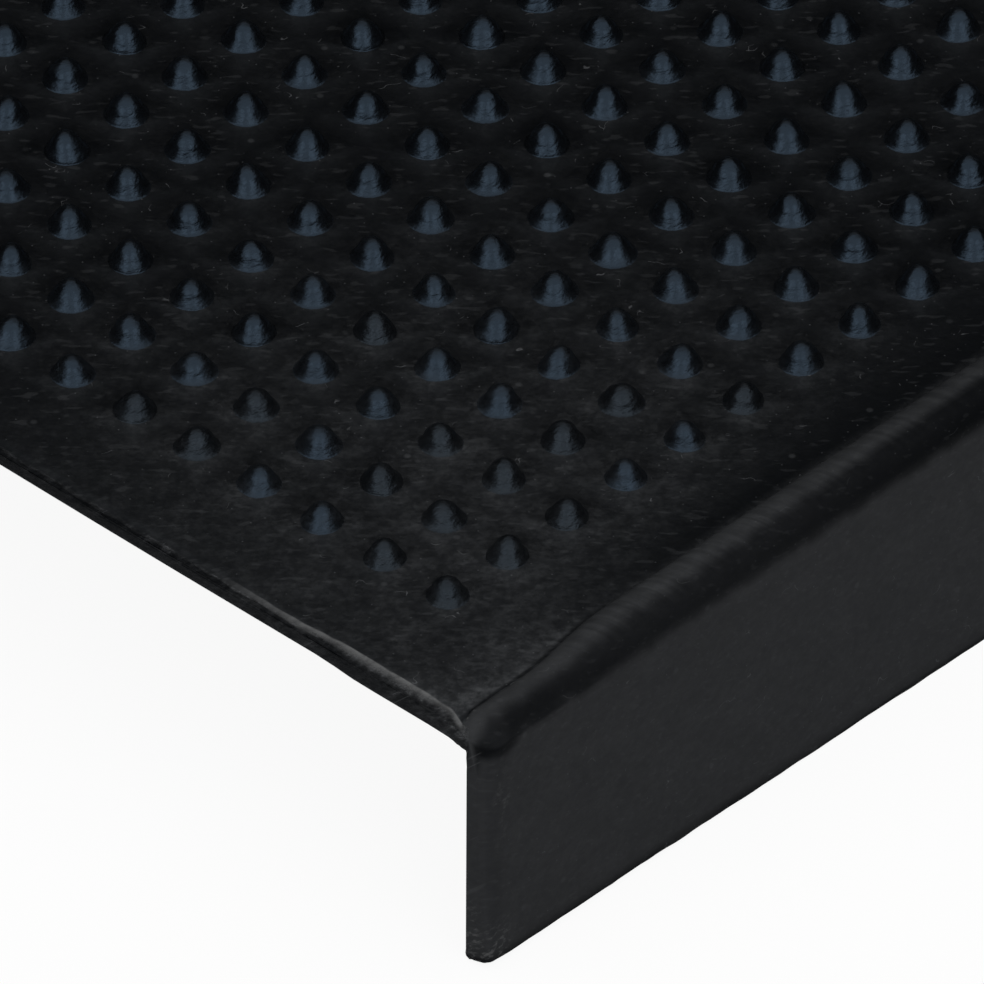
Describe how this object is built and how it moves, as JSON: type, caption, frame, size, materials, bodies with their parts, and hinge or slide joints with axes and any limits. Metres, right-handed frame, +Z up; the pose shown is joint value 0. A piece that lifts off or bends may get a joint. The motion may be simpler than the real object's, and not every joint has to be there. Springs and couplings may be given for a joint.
{
  "type": "anti slip stair tread mat",
  "caption": "Moulded rubber stair tread mat: a flat plate with a square grid of pointed studs, a round nosing bead and a hanging front lip.",
  "frame": {"origin": "centre of the plate's flat underside, which lies on the stair tread", "axes": "+X along the stair's width, +Y from the nosing to the back of the tread, +Z up"},
  "size_m": [0.6, 0.25, 0.0379],
  "materials": {
    "black_rubber": "moulded black rubber: satin and slightly streaky on the plate, glossier on the studs, matte on the lip, with fine dust and lint"
  },
  "bodies": {
    "root": {"tread_mat": "black_rubber"}
  },
  "joints": []
}
